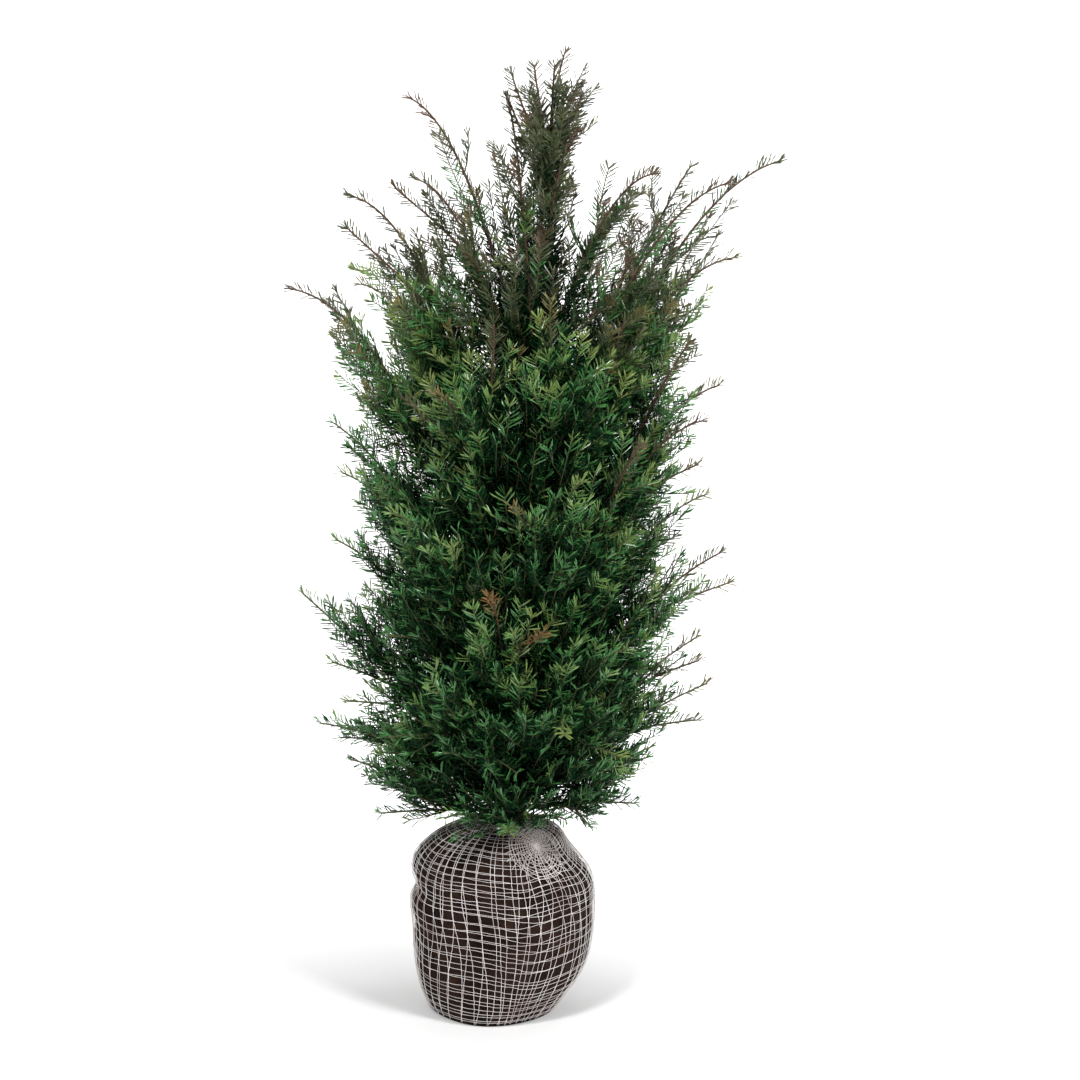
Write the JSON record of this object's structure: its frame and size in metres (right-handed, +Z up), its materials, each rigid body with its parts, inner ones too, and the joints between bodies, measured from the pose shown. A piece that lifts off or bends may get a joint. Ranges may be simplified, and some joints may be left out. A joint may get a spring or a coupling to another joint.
{
  "type": "young english yew in a netted root ball",
  "caption": "Young upright yew with an arching, needled crown, its roots in a burlap-wrapped, netted ball that it stands on.",
  "frame": {"origin": "on the flat underside of the root ball, below the middle of the ball", "axes": "+Z up along the plant, +Y away from the side that faces the viewer, +X to that viewer's right"},
  "size_m": [0.6825, 0.4717, 1.362],
  "materials": {
    "yew_foliage": "satin",
    "bough_bark": "matte",
    "trunk_bark": "matte",
    "burlap": "matte"
  },
  "bodies": {
    "root": {"bough_back_high": "bough_bark", "bough_back_middle": "bough_bark", "bough_front_high": "bough_bark", "bough_left_arching": "bough_bark", "bough_left_crown": "bough_bark", "bough_left_fan": "bough_bark", "bough_left_high": "bough_bark", "bough_left_low": "bough_bark", "bough_left_middle": "bough_bark", "bough_right_arching": "bough_bark", "bough_right_crown": "bough_bark", "bough_right_fan": "bough_bark", "bough_right_high": "bough_bark", "bough_right_lower": "bough_bark", "bough_right_middle": "bough_bark", "foliage_back_hem": "yew_foliage", "foliage_back_high": "yew_foliage", "foliage_back_left_high": "yew_foliage", "foliage_back_left_low": "yew_foliage", "foliage_back_middle": "yew_foliage", "foliage_back_right_high": "yew_foliage", "foliage_back_right_low": "yew_foliage", "foliage_back_right_middle": "yew_foliage", "foliage_front_hem": "yew_foliage", "foliage_front_high": "yew_foliage", "foliage_front_left_low": "yew_foliage", "foliage_front_left_skirt": "yew_foliage", "foliage_front_low": "yew_foliage", "foliage_front_right_high": "yew_foliage", "foliage_front_right_low": "yew_foliage", "foliage_front_right_middle": "yew_foliage", "foliage_leader": "yew_foliage", "foliage_left_arching": "yew_foliage", "foliage_left_back_high": "yew_foliage", "foliage_left_back_middle": "yew_foliage", "foliage_left_crown": "yew_foliage", "foliage_left_fan": "yew_foliage", "foliage_left_front_middle": "yew_foliage", "foliage_left_hem": "yew_foliage", "foliage_left_high": "yew_foliage", "foliage_left_low": "yew_foliage", "foliage_left_middle": "yew_foliage", "foliage_left_skirt": "yew_foliage", "foliage_right_arching": "yew_foliage", "foliage_right_back_low": "yew_foliage", "foliage_right_back_middle": "yew_foliage", "foliage_right_crown": "yew_foliage", "foliage_right_fan": "yew_foliage", "foliage_right_front_middle": "yew_foliage", "foliage_right_hem": "yew_foliage", "foliage_right_high": "yew_foliage", "foliage_right_lower": "yew_foliage", "foliage_right_middle": "yew_foliage", "foliage_right_skirt": "yew_foliage", "foliage_top_back": "yew_foliage", "foliage_top_front": "yew_foliage", "foliage_top_left": "yew_foliage", "foliage_top_right": "yew_foliage", "root_ball": "burlap", "trunk": "trunk_bark"}
  },
  "joints": []
}
